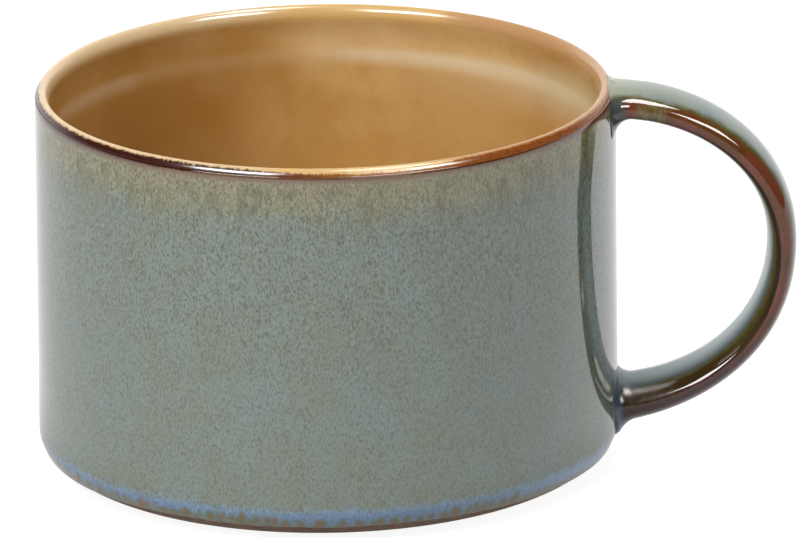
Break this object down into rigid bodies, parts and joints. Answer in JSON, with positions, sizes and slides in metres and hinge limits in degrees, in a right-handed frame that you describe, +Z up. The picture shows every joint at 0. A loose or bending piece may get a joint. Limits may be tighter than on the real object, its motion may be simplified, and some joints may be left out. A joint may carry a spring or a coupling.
{
  "type": "coffee cup",
  "caption": "Straight-sided stoneware coffee cup with a luted strap handle, an ochre liner glaze and a mottled blue-grey outer glaze that stops above a bare foot ring.",
  "frame": {"origin": "on the surface the cup stands on, under the middle of the cup and its handle taken together; the cup's own axis stands 12.5 mm towards -X from it", "axes": "+Z up along the cup's axis, +X from the cup towards its handle, Y across the handle"},
  "size_m": [0.1056, 0.0806, 0.0539],
  "materials": {
    "stoneware": "bare fired stoneware, matt",
    "handle_clay": "fired stoneware under glaze",
    "upper_slip_joint": "luting slip under broken blue-grey glaze",
    "lower_slip_joint": "luting slip under broken blue-grey glaze",
    "ochre_glaze": "glossy honey-ochre glaze with brown clouds",
    "blue_grey_glaze": "glossy blue-grey reactive glaze with fine brown specks",
    "handle_glaze": "glossy blue-grey glaze breaking brown on the edges",
    "base_glaze": "glossy blue-grey glaze in the recess of the base"
  },
  "bodies": {
    "root": {"stoneware_body": "stoneware", "handle": "handle_clay", "upper_slip_joint": "upper_slip_joint", "lower_slip_joint": "lower_slip_joint", "liner_glaze": "ochre_glaze", "outer_glaze": "blue_grey_glaze", "handle_glaze": "handle_glaze", "base_glaze": "base_glaze"}
  },
  "joints": []
}
